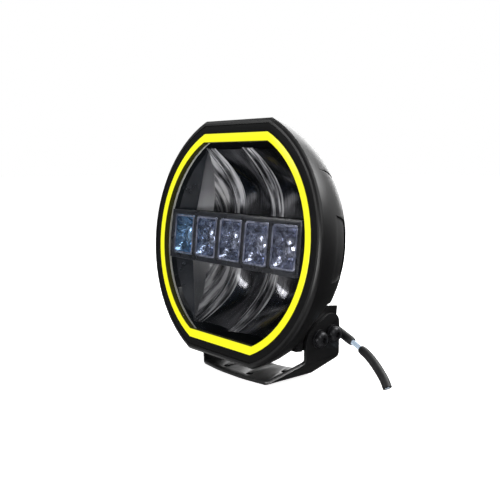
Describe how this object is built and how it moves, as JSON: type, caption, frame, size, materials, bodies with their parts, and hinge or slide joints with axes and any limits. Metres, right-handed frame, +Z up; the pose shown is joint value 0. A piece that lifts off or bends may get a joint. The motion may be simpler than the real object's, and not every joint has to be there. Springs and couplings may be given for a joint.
{
  "type": "vehicle driving light",
  "caption": "Round LED driving light with a halo ring and a row of square optics, tilting on a swept steel bracket, with a short cable tail.",
  "frame": {"origin": "underside of the bracket, in the middle of its flat base, just ahead of the mounting bolt hole", "axes": "+Z up, -Y the way the lamp shines, +X to the right when looking at the lamp's face from the front"},
  "size_m": [0.2395, 0.108, 0.2264],
  "materials": {
    "housing_paint": "satin black powder coat on die-cast aluminium",
    "heat_sink_paint": "satin black powder coat on die-cast aluminium",
    "bezel_plastic": "moulded, fine texture",
    "halo_amber": "lit yellow light guide",
    "lens_polycarbonate": "clear, hard-coated",
    "seal_rubber": "moulded",
    "circuit_board": "white solder mask",
    "optic_frame_plastic": "moulded",
    "optic_acrylic": "clear, faint violet tint",
    "led_phosphor": "yellow phosphor",
    "heat_bar_alloy": "machined",
    "reflector_chrome": "dark vacuum metallised",
    "screw_steel": "zinc plated",
    "bracket_paint": "satin black powder coat on steel",
    "bolt_steel": "black oxide",
    "washer_steel": "black oxide",
    "cable_sleeve": "extruded",
    "cable_core_skin": "extruded"
  },
  "bodies": {
    "bracket": {"bracket": "bracket_paint", "cable_sleeve_upper": "cable_sleeve", "cable_core": "cable_core_skin", "cable_sleeve_lower": "cable_sleeve"},
    "lamp": {"housing": "housing_paint", "heat_sink": "heat_sink_paint", "bezel": "bezel_plastic", "halo_light_guide": "halo_amber", "front_lens": "lens_polycarbonate", "lens_seal": "seal_rubber", "breather_vent": "seal_rubber", "cable_gland": "seal_rubber", "gland_nut": "seal_rubber", "halo_led_board": "circuit_board", "main_led_board": "circuit_board", "upper_led_board": "circuit_board", "lower_led_board": "circuit_board", "driver_board": "circuit_board", "optic_bar_frame": "optic_frame_plastic", "optic_lens_1": "optic_acrylic", "optic_lens_2": "optic_acrylic", "optic_lens_3": "optic_acrylic", "optic_lens_4": "optic_acrylic", "optic_lens_5": "optic_acrylic", "main_led_1": "led_phosphor", "main_led_2": "led_phosphor", "main_led_3": "led_phosphor", "main_led_4": "led_phosphor", "main_led_5": "led_phosphor", "upper_led_left": "led_phosphor", "upper_led_right": "led_phosphor", "lower_led_left": "led_phosphor", "lower_led_right": "led_phosphor", "heat_bar": "heat_bar_alloy", "upper_reflector": "reflector_chrome", "lower_reflector": "reflector_chrome", "sink_screw_1": "screw_steel", "sink_screw_2": "screw_steel", "sink_screw_3": "screw_steel", "sink_screw_4": "screw_steel", "pivot_bolt_left": "bolt_steel", "pivot_bolt_right": "bolt_steel", "lock_bolt_left": "bolt_steel", "lock_bolt_right": "bolt_steel", "pivot_washer_left": "washer_steel", "pivot_washer_right": "washer_steel", "lock_washer_left": "washer_steel", "lock_washer_right": "washer_steel"}
  },
  "joints": [
    {"name": "lamp_tilt", "type": "hinge", "parent": "bracket", "child": "lamp", "pos_m": [0, 0.014, 0.0408], "axis": [1, 0, 0], "range_deg": [-12, 12], "deforming": ["cable_sleeve_upper", "cable_core", "cable_sleeve_lower"]}
  ]
}
